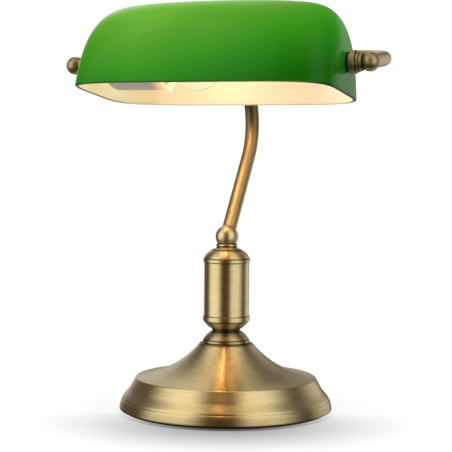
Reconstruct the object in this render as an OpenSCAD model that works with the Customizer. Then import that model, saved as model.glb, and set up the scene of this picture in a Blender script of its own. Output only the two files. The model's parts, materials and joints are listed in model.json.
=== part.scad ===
// Banker desk lamp. A weighted base and a turned column carry a cranked stem that
// swivels on the column. The stem ends in a two-armed yoke, which holds a long glass
// shade by its ends, so that the shade tilts. One lamp holder and its bulb lie along
// the tilt axis, inside the shade.
// Millimetres. The origin is the centre of the base's underside. +Z is up, +X runs
// along the shade to the user's right, and the user sits on the -Y side.

/* [Base] */
// Radius of the base at its lower edge
base_r = 90.9; // [88:0.1:94]
// Height of the crease between the base's skirt and its flared top
crease_z = 28.9; // [28:0.1:30]
// Height of the seat on the base that the column's foot stands on
seat_z = 57.9; // [56:0.1:60]
// Wall of the spun base shell
shell_t = 1.2; // [0.8:0.1:1.6]
// Thickness of the foam pad under the base
pad_t = 2.2; // [1.5:0.1:2.5]
// Radius of the iron weight inside the base
weight_r = 82; // [76:0.5:83]

/* [Column] */
// Radius of the column's straight tube
column_r = 19.25; // [18.8:0.05:19.5]
// Radius of the raised bands at both ends of that tube
band_r = 20; // [19.8:0.05:20.4]
// Height of the tube's lower end
tube_z0 = 81.1; // [80:0.1:82]
// Height of the tube's upper end
tube_z1 = 126.9; // [120:0.1:130]
// Wall of the tube
tube_t = 1; // [0.8:0.1:1.5]

/* [Stem and yoke] */
// Radius of the ball that the stem swivels on
ball_r = 9.75; // [9.5:0.05:10]
// Outer radius of the stem's and the yoke's tubes
pipe_r = 6; // [5.8:0.1:6.2]
// Wall of those tubes
pipe_t = 1.2; // [1:0.1:1.5]
// How far the stem leans back from upright, in degrees
stem_lean = 37; // [34:0.5:40]
// Radius of the stem's bends, to the middle of the tube
stem_bend_r = 47; // [44:0.5:50]
// How far the stem leans forward between its two bends, in degrees
stem_return = 20; // [15:0.5:22]
// Distance from the tilt axis to the yoke's rear tube
yoke_depth = 80; // [79:0.5:84]
// Rise of the yoke towards the back, in degrees
yoke_rise = 6; // [4:0.5:8]
// Radius of the yoke's corner bends, to the middle of the tube
yoke_bend_r = 42; // [38:0.5:44]
// Radius of the balls at the yoke's ends
end_ball_r = 7.7; // [7.4:0.1:8]
// Distance of those balls from the middle of the shade
end_ball_x = 131.2; // [131.2:0.1:134]

/* [Shade] */
// Distance of the tilt axis behind the column's axis (negative: in front of it)
axis_y = -26.5; // [-28:0.1:-25]
// Height of the tilt axis
axis_z = 293.9; // [290:0.1:298]
// Tilt of the shade at rest, front rim up, in degrees
shade_tilt = 7.3; // [0:0.1:15]
// Half of the shade's length at its rim
shade_a = 112.5; // [112:0.1:113]
// Half of the shade's width at its rim
shade_b = 60.2; // [57:0.1:61]
// Height of the shade above its rim
shade_h = 75.6; // [72:0.1:77]
// Height of the tilt axis above the rim
shade_axis_h = 25.5; // [24:0.1:27]
// Thickness of the cased glass
glass_t = 3.3; // [3:0.1:4]

/* [Lamp holder and bulb] */
// Outer radius of the lamp holder
holder_r = 21.3; // [21:0.1:22]
// Distance of the holder's mouth from the middle of the shade
mouth_x = 45; // [43:0.5:50]
// Radius of the bulb's globe
globe_r = 22.5; // [22:0.1:24]
// Distance of the globe's centre from the middle of the shade
globe_x = 18; // [16:0.5:19]

/* [Hidden] */
$fn = 96;
slack = 0.05;                       // radial play of a plain fit
run_gap = 0.08;                     // radial play of a turning fit
face_gap = 0.1;                     // play between faces that turn on each other
rod_r = 4.9;                        // M10 x 1 hollow rod, thread left plain
rod_bore = 3.5;
nipple_r = 5;
rod_hole = 5.2;                     // clearance hole for the rod
nut_r = 14 / sqrt(3);               // corner radius of a 14 mm hexagon nut
rod_z0 = 3;
ball_z = 148.8;
ball_seat_z = 143;                  // plane that the stem swivels on
rod_z1 = ball_seat_z + 6.5;
groove_z = ball_seat_z + 3.2;       // middle of the rod's stop groove
groove_floor = 4.2;
brass = "#A08A58";
dark_brass = "#7A673F";
steel = "silver";

// ---------------------------------------------------------------- outlines

// Points along an arc about c, from angle a0 to a1.
function arc_pts(c, r, a0, a1, n = 8) =
    [for (i = [0:n]) let (a = a0 + (a1 - a0) * i / n) c + r * [cos(a), sin(a)]];

// Points along a cubic curve with end points p[0], p[3] and handles p[1], p[2].
function curve_pts(p, n = 10) =
    [for (i = [0:n]) let (t = i / n, s = 1 - t)
        s * s * s * p[0] + 3 * s * s * t * p[1] + 3 * s * t * t * p[2] + t * t * t * p[3]];

// Half-section of a turned ring whose outer corners are rounded by f.
function ring_pts(bore, r, z0, z1, f) = concat(
    [[bore, z0]],
    arc_pts([r - f, z0 + f], f, -90, 0, 6),
    arc_pts([r - f, z1 - f], f, 0, 90, 6),
    [[bore, z1]]);

// A round arc of radius r from p to q, both [radius, height], bulging outwards.
function bulge_pts(p, q, r, n = 10) =
    let (m = (p + q) / 2, d = q - p, h = norm(d) / 2,
        c = m + sqrt(r * r - h * h) * [-d[1], d[0]] / norm(d),
        a0 = atan2(p[1] - c[1], p[0] - c[0]), a1 = atan2(q[1] - c[1], q[0] - c[0]))
    arc_pts(c, r, a0, a1, n);

function reversed(pts) = [for (i = [len(pts) - 1:-1:0]) pts[i]];

module turned(pts) rotate_extrude() polygon(pts);

// A child built about +Z at the origin, laid along the tilt axis: +Z becomes +X.
module on_axis() translate([0, axis_y, axis_z]) rotate([0, 90, 0]) children();

// The child for the right-hand end, or its mirror image for the left-hand one.
module at_end(side) on_axis() mirror([0, 0, side < 0 ? 1 : 0]) children();

module tube(r, t, l) difference() {
    cylinder(r = r, h = l);
    translate([0, 0, -1]) cylinder(r = r - t, h = l + 2);
}

// A bent length of tube in the X-Z plane. It starts at the origin along +Z and bends
// towards +X about [r_bend, 0].
module tube_bend(r, t, r_bend, angle)
    translate([r_bend, 0, 0]) rotate([90, 0, 180])
        rotate_extrude(angle = angle)
            translate([r_bend, 0]) difference() {
                circle(r = r);
                circle(r = r - t);
            }

// ---------------------------------------------------------------- base

band_z = 10.4;                      // top of the band around the base's lower edge
band_top_r = base_r - 2.2;
cone_z = 20.7;                      // foot of the skirt's straight cone
cone_r = base_r - 9.5;
crease_r = base_r - 14.1;
seat_r = 22.8;
crease_f = 0.8;                     // size of the rounding at the crease
lip_r = 85.5;                       // inner edge of the shell's folded lip

// Outer outline of the base, from its lower edge to the column's seat.
function base_outline() = concat(
    curve_pts([[base_r, pad_t], [base_r - 0.4, 5.2], [base_r - 1.1, 8.4],
        [band_top_r, band_z]], 5),
    curve_pts([[band_top_r - 0.3, band_z + 0.1], [band_top_r - 0.6, band_z + 2],
        [cone_r + 1.1, cone_z - 3.2], [cone_r, cone_z]], 7),
    curve_pts([[crease_r + crease_f, crease_z - 1.6], [crease_r + 0.3, crease_z - 0.5],
        [crease_r - 0.2, crease_z], [crease_r - 1.6, crease_z + 0.05]], 4),
    curve_pts([[crease_r - 2, crease_z + 0.1], [crease_r - 16.7, crease_z + 1.2],
        [39.4, 37.5], [seat_r, seat_z - 0.5]], 16),
    [[seat_r - 0.8, seat_z]]);

// The same outline moved in by the shell's wall.
function base_inline() =
    [for (p = base_outline()) [p[0] - (p[1] < crease_z ? shell_t : shell_t * 0.8),
        p[1] < crease_z ? p[1] : p[1] - shell_t]];

cord_z = 7.6;                       // height of the cord inlet
cord_bore = 3;
inlet_r = 3.9;

module base_pad() color("#151515") cylinder(r = base_r - 3.9, h = pad_t);

weight_z1 = pad_t + 10.8;
boss_r = 24;
boss_z = 18;
recess_r = 15.5;
recess_z = 10.2;

module base_weight() color("#2E2E30") difference() {
    turned([[rod_hole, recess_z], [recess_r, recess_z], [recess_r, pad_t], [weight_r, pad_t],
        [weight_r, weight_z1 - 1.5], [weight_r - 1.5, weight_z1], [boss_r + 3, weight_z1],
        [boss_r, boss_z], [rod_hole, boss_z]]);
    // Channel for the cord, from the inlet to the rod's lower end.
    translate([-4, 0, 0]) cube([8, weight_r + 5, cord_z + cord_bore + 0.4]);
}

washer_t = 1.5;
nut_t = 3.5;
shell_under_z = seat_z - shell_t;   // underside of the shell's seat

module hex_nut(z, hole) translate([0, 0, z]) difference() {
    cylinder(r = nut_r, h = nut_t, $fn = 6);
    translate([0, 0, -1]) cylinder(r = hole, h = nut_t + 2);
}

module flat_washer(z, r) translate([0, 0, z]) tube(r, r - rod_hole, washer_t);

// One nut under the weight, one on top of it and one under the shell's seat.
module rod_nuts() color(steel) {
    hex_nut(recess_z - washer_t - nut_t, rod_r + slack);
    hex_nut(boss_z, rod_r + slack);
    hex_nut(shell_under_z - washer_t - nut_t, rod_r + slack);
}

module rod_washers() color(steel) {
    flat_washer(recess_z - washer_t, 14);
    flat_washer(shell_under_z - washer_t, 16);
}

// Hollow threaded rod through the whole column. Its upper end carries the stem's ball,
// and a rib across the groove there stops the stem's turn.
module center_rod() color(steel) difference() {
    translate([0, 0, rod_z0]) cylinder(r = rod_r, h = rod_z1 - rod_z0);
    translate([0, 0, rod_z0 - 1]) cylinder(r = rod_bore, h = rod_z1 - rod_z0 + 2);
    difference() {
        translate([0, 0, groove_z - 1.8]) tube(rod_r + 1, rod_r + 1 - groove_floor, 3.6);
        translate([-0.8, -rod_r - 1, groove_z - 2]) cube([1.6, rod_r, 4]);
    }
}

module base_shell() color(brass) difference() {
    turned(concat(base_outline(), [[rod_hole, seat_z], [rod_hole, shell_under_z]],
        reversed([for (p = base_inline()) if (p[1] > pad_t + shell_t) p]),
        [[base_r - shell_t, pad_t + shell_t], [lip_r, pad_t + shell_t], [lip_r, pad_t]]));
    translate([0, base_r - 12, cord_z]) rotate([-90, 0, 0]) cylinder(r = inlet_r, h = 20);
}

flange_r = 4.9;                     // flange of the cord bushing
flange_t = 0.7;                     // how far it stands out past the base's edge

// Bushing in the back of the skirt that the mains cord enters by. The back of its flange
// is cut to the shell's outline.
module cord_bushing() color("#1A1A1A") {
    translate([0, 0, cord_z]) rotate([-90, 0, 0]) difference() {
        translate([0, 0, base_r - 5.9]) cylinder(r = inlet_r - slack, h = 5.9 + flange_t);
        translate([0, 0, base_r - 8]) cylinder(r = cord_bore, h = 12);
    }
    difference() {
        translate([0, 0, cord_z]) rotate([-90, 0, 0]) difference() {
            translate([0, 0, base_r - 4]) cylinder(r = flange_r, h = 4 + flange_t);
            translate([0, 0, base_r - 5]) cylinder(r = inlet_r - slack, h = 8);
        }
        turned(concat([[0, 0], [base_r, 0]], base_outline(), [[0, seat_z]]));
    }
}

// ---------------------------------------------------------------- column

foot_band_z = seat_z + 2.7;         // top of the foot's raised band
waist_z0 = 68.2;
waist_z1 = 69.9;
cap_band_z = tube_z1 + 3.2;         // top of the cap's raised band
cap_z = 137.4;                      // top of the column's cap
flare_z = 140.2;                    // top of the flared neck ring

module foot_flange() color(brass) turned(concat(
    [[rod_hole, seat_z]],
    arc_pts([band_r - 0.7, seat_z + 0.9], 0.9, -90, 0, 5),
    arc_pts([band_r - 0.7, foot_band_z - 0.9], 0.9, 0, 90, 5),
    [[19.1, foot_band_z], [19.1, foot_band_z + 0.5]],
    bulge_pts([19.4, foot_band_z + 0.5], [12.2, waist_z0], 16.3),
    [[rod_hole, waist_z0]]));

module waist_ring() color(dark_brass) turned([[rod_hole, waist_z0], [10.9, waist_z0],
    [10.9, waist_z0 + 0.3], [11.8, waist_z0 + 0.4], [12, waist_z0 + 0.85],
    [11.8, waist_z1 - 0.4], [10.9, waist_z1 - 0.3], [10.9, waist_z1], [rod_hole, waist_z1]]);

cup_band_z = tube_z0 - 4.4;         // foot of the cup's raised band
spigot = 4;                         // how far the cup and the cap reach into the tube

module column_cup() color(brass) turned(concat(
    [[rod_hole, waist_z1]],
    bulge_pts([12.2, waist_z1], [19, cup_band_z - 0.5], 18.1),
    [[18.9, cup_band_z - 0.5], [18.9, cup_band_z]],
    arc_pts([band_r - 0.8, cup_band_z + 0.8], 0.8, -90, 0, 5),
    arc_pts([band_r - 0.8, tube_z0 - 0.8], 0.8, 0, 90, 5),
    [[column_r - tube_t - slack, tube_z0], [column_r - tube_t - slack, tube_z0 + spigot],
    [column_r - tube_t - 2, tube_z0 + spigot], [column_r - tube_t - 2, cup_band_z + 1],
    [10, waist_z1 + 3], [rod_hole, waist_z1 + 3]]));

module column_tube() color(brass) translate([0, 0, tube_z0])
    tube(column_r, tube_t, tube_z1 - tube_z0);

module column_cap() color(brass) turned(concat(
    [[rod_hole, cap_z - 4], [10, cap_z - 4], [column_r - tube_t - 2, tube_z1 + 1],
    [column_r - tube_t - 2, tube_z1 - spigot],
    [column_r - tube_t - slack, tube_z1 - spigot], [column_r - tube_t - slack, tube_z1]],
    arc_pts([band_r - 0.8, tube_z1 + 0.8], 0.8, -90, 0, 5),
    arc_pts([band_r - 0.8, cap_band_z - 0.8], 0.8, 0, 90, 5),
    [[19.3, cap_band_z]],
    bulge_pts([19.6, cap_band_z + 0.1], [12.9, cap_z], 13),
    [[rod_hole, cap_z]]));

module neck_flare() color(brass) turned(concat(
    [[rod_hole, cap_z]],
    arc_pts([11.6, cap_z + 0.5], 0.5, -90, 60, 5),
    curve_pts([[11.4, cap_z + 1.1], [10, cap_z + 1.2], [9.2, cap_z + 1.6],
        [9.1, cap_z + 2.3]], 5),
    [[8.6, cap_z + 2.4], [8.6, flare_z], [rod_hole, flare_z]]));

module neck_bead() color(brass) turned(concat(
    [[rod_r + slack, flare_z], [8.4, flare_z]],
    arc_pts([8, (flare_z + ball_seat_z) / 2], 1.2, -80, 80, 8),
    [[8, ball_seat_z - 0.05], [rod_r + slack, ball_seat_z - 0.05]]));

// ---------------------------------------------------------------- stem

rear_y = axis_y + yoke_depth * cos(yoke_rise);
rear_z = axis_z + yoke_depth * sin(yoke_rise);
pipe_in = 4.5;                      // distance of a tube's end from its ball's centre
coupling_r = 11.5;                  // ball that joins the stem and the yoke
coupling_in = 6.2;                  // distance of the tubes' ends from its centre
grub_at = 8.1;                      // distance of its grub screws from its centre
socket_r = pipe_r + slack;
lead_r = 3.6;                       // passage for the lead inside the balls
first_bend_y = stem_bend_r * (1 - cos(stem_lean));
mid_run = 5;                        // straight stretch between the two bends
forward_y = 2 * stem_bend_r * (1 - cos(stem_return)) + mid_run * sin(stem_return);
stem_run = (rear_y - first_bend_y + forward_y) / sin(stem_lean);
bend_low = [stem_run * sin(stem_lean), ball_z + stem_run * cos(stem_lean)];
bend_mid = bend_low + stem_bend_r
    * [1 - cos(stem_lean) - (1 - cos(stem_return)), sin(stem_lean) + sin(stem_return)];
bend_up = bend_mid + mid_run * [-sin(stem_return), cos(stem_return)];
bend_top_z = bend_up[1] + stem_bend_r * sin(stem_return);

// A child drawn in the X-Z plane, turned so that its +X points to the back.
module to_back() rotate([0, 0, 90]) children();

module stem_ball() color(brass) difference() {
    intersection() {
        translate([0, 0, ball_z]) sphere(r = ball_r);
        translate([-20, -20, ball_seat_z]) cube([40, 40, 20]);
    }
    translate([0, 0, ball_seat_z - 1])
        cylinder(r = rod_r + run_gap, h = rod_z1 - ball_seat_z + 1.2);
    translate([0, 0, rod_z1]) cylinder(r = lead_r, h = 2);
    translate([0, 0, ball_z]) rotate([-stem_lean, 0, 0]) {
        translate([0, 0, pipe_in]) cylinder(r = socket_r, h = 10);
        cylinder(r = lead_r, h = 10);
    }
    translate([0, 0, groove_z]) rotate([-90, 0, 0]) cylinder(r = 1.5 + slack, h = 20);
}

// Grub screw in the back of the ball. Its tip runs in the rod's groove.
module swivel_screw() color(steel) translate([0, groove_floor + 0.2, groove_z])
    rotate([-90, 0, 0]) cylinder(r = 1.5, h = ball_r - groove_floor - 1);

// Centre line of the stem as [distance to the back, height, lean] at each ring.
function stem_path() = concat(
    [[pipe_in * sin(stem_lean), ball_z + pipe_in * cos(stem_lean), stem_lean]],
    [for (i = [0:12]) let (q = stem_lean - (stem_lean + stem_return) * i / 12)
        [bend_low[0] + stem_bend_r * (cos(q) - cos(stem_lean)),
            bend_low[1] + stem_bend_r * (sin(stem_lean) - sin(q)), q]],
    [for (i = [0:5]) let (q = -stem_return * (1 - i / 5))
        [rear_y + stem_bend_r * (1 - cos(q)), bend_top_z + stem_bend_r * sin(q), q]],
    [[rear_y, rear_z - coupling_in, 0]]);

// One ring of n points of radius r, square to the path at p.
function path_ring(p, r, n) = [for (j = [0:n - 1]) let (a = 360 * j / n)
    [p[0] + r * cos(a) * cos(p[2]), r * sin(a), p[1] - r * cos(a) * sin(p[2])]];

// The stem's tube as one closed skin, outer and inner rings in turn along the path.
module stem_tube() color(brass) to_back() {
    n = 32;
    path = stem_path();
    last = 2 * n * (len(path) - 1);
    rings = [for (p = path, r = [pipe_r, pipe_r - pipe_t]) path_ring(p, r, n)];
    polyhedron(
        points = [for (ring = rings) each ring],
        faces = concat(
            [for (i = [0:len(path) - 2], j = [0:n - 1])
                let (k = (j + 1) % n, a = 2 * i * n, b = a + 2 * n)
                    [a + j, b + j, b + k, a + k]],
            [for (i = [0:len(path) - 2], j = [0:n - 1])
                let (k = (j + 1) % n, a = (2 * i + 1) * n, b = a + 2 * n)
                    [a + j, a + k, b + k, b + j]],
            [for (j = [0:n - 1]) let (k = (j + 1) % n) [j, k, n + k, n + j]],
            [for (j = [0:n - 1]) let (k = (j + 1) % n)
                [last + j, last + n + j, last + n + k, last + k]]));
}

// Ball behind the shade that joins the stem to the yoke's two arms.
module top_coupling() color(brass) translate([0, rear_y, rear_z]) difference() {
    sphere(r = coupling_r);
    for (way = [[180, 0], [0, 90], [0, -90]]) rotate([way[0], way[1], 0]) {
        translate([0, 0, coupling_in]) cylinder(r = socket_r, h = 10);
        cylinder(r = lead_r, h = 10);
    }
    for (way = [[0, -1], [-1, 0], [1, 0]])
        translate([way[0], 0, way[1]] * grub_at) rotate([-90, 0, 0])
            cylinder(r = 1 + slack, h = 20);
}

// Three grub screws in the back of that ball, one on each tube.
module set_screws() color(steel) translate([0, rear_y, rear_z])
    for (way = [[0, -1], [-1, 0], [1, 0]])
        translate([way[0] * grub_at, pipe_r + slack, way[1] * grub_at]) rotate([-90, 0, 0])
            cylinder(r = 1, h = 1.4);

// ---------------------------------------------------------------- yoke

arm_run = yoke_depth - yoke_bend_r - pipe_in;
rear_run = end_ball_x - yoke_bend_r - coupling_in;

// One arm. It leaves its ball towards the back, bends inwards and ends in the
// coupling. Drawn with +X along the shade and +Z to the back, then laid in place. Its
// end is cut away where the clamp nut and the nipple pass it.
module yoke_arm(side) color(brass)
    translate([0, axis_y, axis_z]) rotate([yoke_rise - 90, 0, 0]) mirror([side < 0 ? 1 : 0, 0, 0]) {
        difference() {
            translate([end_ball_x, 0, pipe_in]) tube(pipe_r, pipe_t, arm_run);
            rotate([0, 90, 0]) {
                cylinder(r = 7.7, h = nut_face_x - 0.05);
                cylinder(r = nipple_r + 0.15, h = end_ball_x);
            }
        }
        translate([end_ball_x, 0, pipe_in + arm_run])
            mirror([1, 0, 0]) tube_bend(pipe_r, pipe_t, yoke_bend_r, 90);
        translate([coupling_in, 0, yoke_depth]) rotate([0, 90, 0])
            tube(pipe_r, pipe_t, rear_run);
    }

module yoke_arm_left() yoke_arm(-1);
module yoke_arm_right() yoke_arm(1);

nut_face_x = 125.9;                 // inner flat of an end ball

module end_ball(side) color(brass)
    at_end(side) translate([0, 0, end_ball_x]) difference() {
        // Here +Z points along the shade, and the arm leaves along the tilted +Y.
        union() {
            intersection() {
                sphere(r = end_ball_r);
                translate([-20, -20, nut_face_x - end_ball_x]) cube([40, 40, 40]);
                rotate([0, 0, yoke_rise]) translate([-20, -20, -20])
                    cube([40, 20 + pipe_in, 40]);
            }
            rotate([0, 0, yoke_rise]) rotate([-90, 0, 0])
                cylinder(r = pipe_r - pipe_t - slack, h = 11);
        }
        rotate([0, 0, yoke_rise]) rotate([-90, 0, 0]) cylinder(r = 3.2, h = 20);
        translate([0, 0, -20]) cylinder(r = nipple_r + slack, h = 20 - 1);
        translate([0, 0, -3]) cylinder(r = 3.2, h = 3);
    }

module end_ball_left() end_ball(-1);
module end_ball_right() end_ball(1);

nipple_x0 = 102;                    // inner end of the right-hand nipple
holder_nipple_x0 = 97;              // inner end of the left-hand one, in the holder
cap_neck_x = 103.7;                 // inner end of the holder's threaded neck

module nipple(side, x0) color(steel) at_end(side) translate([0, 0, x0]) difference() {
    cylinder(r = nipple_r, h = end_ball_x - 1.1 - x0);
    translate([0, 0, -1]) cylinder(r = rod_bore, h = 60);
}

module nipple_left() nipple(-1, holder_nipple_x0);
module nipple_right() nipple(1, nipple_x0);

glass_out_x = 112.3;                // glass's outer face at the tilt axis
glass_in_x = glass_out_x - glass_t;
bush_r = 8.5;
bush_face_x = 114.5;
cup_x1 = 120.2;
washer_in_x = glass_in_x - 2.15;

// Fixed turned cup that the shade's rubber bush bears on.
module collar_cup(side) color(brass) at_end(side) turned(concat(
    [[nipple_r + slack, bush_face_x + face_gap]],
    arc_pts([8.6, bush_face_x + face_gap + 1.1], 1.1, -90, 0, 5),
    [[9.7, cup_x1 - 1.4]],
    arc_pts([8.5, cup_x1 - 1.2], 1.2, 0, 90, 5),
    [[nipple_r + slack, cup_x1]]));

module collar_cup_left() collar_cup(-1);
module collar_cup_right() collar_cup(1);

// Turned nut, with a large and a small ring, that clamps the cup against the shade.
module clamp_nut(side) color(brass) at_end(side) turned(concat(
    [[nipple_r + run_gap, cup_x1 + face_gap]],
    ring_pts(7, 8.4, cup_x1 + face_gap, cup_x1 + 2.5, 0.9),
    [[6.9, cup_x1 + 2.5], [6.9, cup_x1 + 2.8]],
    ring_pts(6.9, 7.5, cup_x1 + 2.8, nut_face_x - 0.6, 1),
    [[6.4, nut_face_x - 0.6], [6.4, nut_face_x - 0.2], [nipple_r + run_gap, nut_face_x - 0.2]]));

module clamp_nut_left() clamp_nut(-1);
module clamp_nut_right() clamp_nut(1);

module lock_nut(side) color(steel) at_end(side) translate([0, 0, cap_neck_x + 0.1])
    difference() {
        cylinder(r = nut_r, h = washer_in_x - face_gap - cap_neck_x - 0.1, $fn = 6);
        translate([0, 0, -1]) cylinder(r = nipple_r + slack, h = 9);
    }

module lock_nut_left() lock_nut(-1);
module lock_nut_right() lock_nut(1);

// ---------------------------------------------------------------- shade

hole_r = 6.5;                       // hole in each end of the glass

// Rubber bush: a flange outside the glass and a sleeve through its hole.
module pivot_bush(side) color("#202020") at_end(side) turned([
    [nipple_r + run_gap, glass_in_x + 0.1], [hole_r - slack, glass_in_x + 0.1],
    [hole_r - slack, glass_out_x + slack], [bush_r - 0.3, glass_out_x + slack],
    [bush_r, glass_out_x + 0.4], [bush_r, bush_face_x - 0.4], [bush_r - 0.4, bush_face_x],
    [nipple_r + run_gap, bush_face_x]]);

module pivot_bush_left() pivot_bush(-1);
module pivot_bush_right() pivot_bush(1);

module inner_washer(side) color("#202020") at_end(side) translate([0, 0, washer_in_x])
    tube(8, 8 - nipple_r - run_gap, 1.5);

module inner_washer_left() inner_washer(-1);
module inner_washer_right() inner_washer(1);

crown_a = 74.35;                    // how much the half-length shrinks up to the crown
end_rise = 3.87;                    // these four powers shape the dome
end_turn = 5;
side_rise = 1.774;
side_turn = 3.17;
rim_power = 5.25;                   // squareness of the plan at the rim
crown_power = 2;                    // and at the crown
plan_steps = 64;
height_steps = 17;

// Half-length, half-width and squareness of the plan at the part s of the height, for
// a surface that lies skin inside the outer one.
function plan_a(s, skin) =
    shade_a - skin - crown_a * (1 - pow(1 - pow(s, end_rise), 1 / end_turn));
function plan_b(s, skin) = (shade_b - skin) * pow(1 - pow(s, side_rise), 1 / side_turn);
function plan_power(s) = rim_power + (crown_power - rim_power) * s;

// Signed power, for the rounded rectangles of the plan.
function spow(v, p) = sign(v) * pow(abs(v), p);

// Heights crowd towards the crown, where the surface turns level.
function part_height(i) = min(1 - pow(1 - i / height_steps, 3), 0.9995);

// One closed loop of points at the part s of the height.
function plan_loop(s, skin) =
    [for (j = [0:plan_steps - 1]) let (q = 360 * (j + 0.5) / plan_steps, p = 2 / plan_power(s))
        [plan_a(s, skin) * spow(cos(q), p), plan_b(s, skin) * spow(sin(q), p),
            s * (shade_h - skin)]];

// Closed solid of the dome inside one surface, with a flat bottom pushed down by drop.
module dome(skin, drop) {
    loops = concat(
        drop > 0 ? [[for (p = plan_loop(0, skin)) [p[0], p[1], -drop]]] : [],
        [for (i = [0:height_steps]) plan_loop(part_height(i), skin)]);
    rows = len(loops);
    n = plan_steps;
    polyhedron(
        points = [for (l = loops) each l],
        faces = concat(
            [[for (j = [0:n - 1]) j]],
            [for (i = [0:rows - 2], j = [0:n - 1])
                each [[i * n + j, (i + 1) * n + j, (i + 1) * n + (j + 1) % n],
                    [i * n + j, (i + 1) * n + (j + 1) % n, i * n + (j + 1) % n]]],
            [[for (j = [n - 1:-1:0]) (rows - 1) * n + j]]));
}

// The shade's own frame: its origin on the tilt axis, turned to the rest tilt.
module in_shade() translate([0, axis_y, axis_z]) rotate([-shade_tilt, 0, 0])
    translate([0, 0, -shade_axis_h]) children();

module shade_glass() color([0.19, 0.51, 0.08]) in_shade() difference() {
    dome(0, 0);
    dome(glass_t, 5);
    for (side = [-1, 1])
        translate([0, 0, shade_axis_h]) rotate([0, side * 90, 0]) cylinder(r = hole_r, h = 120);
}

// ---------------------------------------------------------------- lamp holder

holder_t = 1.7;
skirt_x1 = mouth_x + 42;            // joint between the holder's cap and skirt
shell_r = 13.4;                     // inside of the screw shell
shell_out_r = 13.8;
bell_x = cap_neck_x - 3.5;           // where the cap widens from its neck
insert_face_x = mouth_x + 31;
insert_mouth_x = insert_face_x - 22;

module holder_cap() color("#9A917F") at_end(-1) turned(concat(
    [[nipple_r + slack, cap_neck_x], [8.4, cap_neck_x], [8.4, bell_x]],
    curve_pts([[9.2, bell_x - 0.6], [15, bell_x - 1], [holder_r, bell_x - 5],
        [holder_r, skirt_x1]], 10),
    [[holder_r - holder_t, skirt_x1]],
    curve_pts([[holder_r - holder_t, skirt_x1 + 1], [holder_r - holder_t, skirt_x1 + 7],
        [13.5, bell_x - 3.4], [8.4, bell_x - 2.8]], 8),
    [[8.4, bell_x - 7], [nipple_r + slack, bell_x - 7]]));

module holder_skirt() color("#A39A88") at_end(-1) turned([
    [holder_r - holder_t, skirt_x1], [holder_r, skirt_x1], [holder_r, mouth_x + 0.6],
    [holder_r - 0.6, mouth_x], [17, mouth_x], [17, mouth_x + holder_t],
    [holder_r - holder_t, mouth_x + holder_t]]);

module holder_insert() color("#D8D2C4") at_end(-1) turned([
    [2.4, insert_face_x], [shell_out_r + slack, insert_face_x],
    [shell_out_r + slack, insert_mouth_x], [16, insert_mouth_x], [16, insert_face_x - 1],
    [19.5, insert_face_x - 1], [19.5, skirt_x1 - 2.5], [2.4, skirt_x1 - 2.5]]);

// Threaded shell that the bulb screws into, its thread drawn as plain rings.
module screw_shell() color("#C9A85A") at_end(-1)
    translate([0, 0, insert_mouth_x - 1])
        tube(shell_out_r, shell_out_r - shell_r, insert_face_x - insert_mouth_x + 0.8);

module centre_contact() color("#C9A85A") at_end(-1) {
    translate([0, 0, insert_face_x - 0.5]) cylinder(r = 4.5, h = 0.4);
    translate([0, 0, insert_face_x - 0.2]) cylinder(r = 2.3, h = 10);
}

// ---------------------------------------------------------------- bulb

cap_mouth_x = mouth_x + 4.5;        // open end of the bulb's cap
cap_foot_x = cap_mouth_x + 22;
thread_pitch = 3.63;
neck_r = 12.4;
bulb_t = 0.8;

// Outline of the bulb's glass, from the cap to the tip of the globe.
function bulb_outline(skin) = let (r = globe_r - skin, c = [0, globe_x], a = 38) concat(
    [[neck_r - skin, cap_mouth_x + 3]],
    curve_pts([[neck_r - skin, cap_mouth_x - 0.1], [neck_r + 0.4 - skin, cap_mouth_x - 6.5],
        [r * cos(a) - 4, globe_x + r * sin(a) + 3.2], c + r * [cos(a), sin(a)]], 8),
    arc_pts(c, r, a - 6, -90, 22));

module bulb_glass() color([0.95, 0.95, 0.9, 0.4]) at_end(-1) turned(concat(
    bulb_outline(0), reversed(bulb_outline(bulb_t))));

module bulb_cap() color("#C8C8C4") at_end(-1) turned(concat(
    [[neck_r + slack, cap_foot_x - 1], [neck_r + slack, cap_mouth_x], [13.1, cap_mouth_x]],
    [for (x = [cap_mouth_x + 2:thread_pitch / 6:cap_foot_x - 1.5])
        [12.85 + 0.25 * cos(360 * (x - cap_mouth_x - 2) / thread_pitch), x]],
    [[12.3, cap_foot_x], [11.4, cap_foot_x], [11.4, cap_foot_x - 1]]));

module bulb_insulator() color("#1B1B1E") at_end(-1) turned([[0, cap_foot_x - 1],
    [11.4 - slack, cap_foot_x - 1], [11.4 - slack, cap_foot_x], [5.5, cap_foot_x + 2.4],
    [0, cap_foot_x + 2.4]]);

module bulb_contact() color("#C8C8C4") at_end(-1) turned([[0, cap_foot_x + 2.4],
    [4.8, cap_foot_x + 2.4], [4.2, insert_face_x - 0.9], [0, insert_face_x - 0.7]]);

filament_x = globe_x + 1.5;
filament_r = 8.5;

// Glass post that carries the filament, with its two wires.
module filament_mount() color([0.9, 0.9, 0.9, 0.6]) at_end(-1) {
    turned([[0, filament_x + 10], [1.8, filament_x + 10], [2.2, filament_x + 14],
        [3.4, cap_mouth_x - 3.5], [9, cap_mouth_x + 3], [neck_r - bulb_t - 0.3, cap_mouth_x + 3.2],
        [neck_r - bulb_t - 0.3, cap_mouth_x + 4], [0, cap_mouth_x + 4]]);
    for (side = [-1, 1])
        translate([side * 1, 0, filament_x + 10.4]) rotate([0, side * -37, 0])
            translate([0, 0, -12.9]) cylinder(r = 0.3, h = 13, $fn = 16);
}

// The glowing coil, bent in an arc across the globe.
module filament() color("#FFE9B0") at_end(-1) translate([0, 0, filament_x])
    rotate([-90, 0, 0]) rotate_extrude(angle = 180, $fn = 48)
        translate([filament_r, 0]) circle(r = 0.45, $fn = 16);

// ---------------------------------------------------------------- nodes

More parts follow.
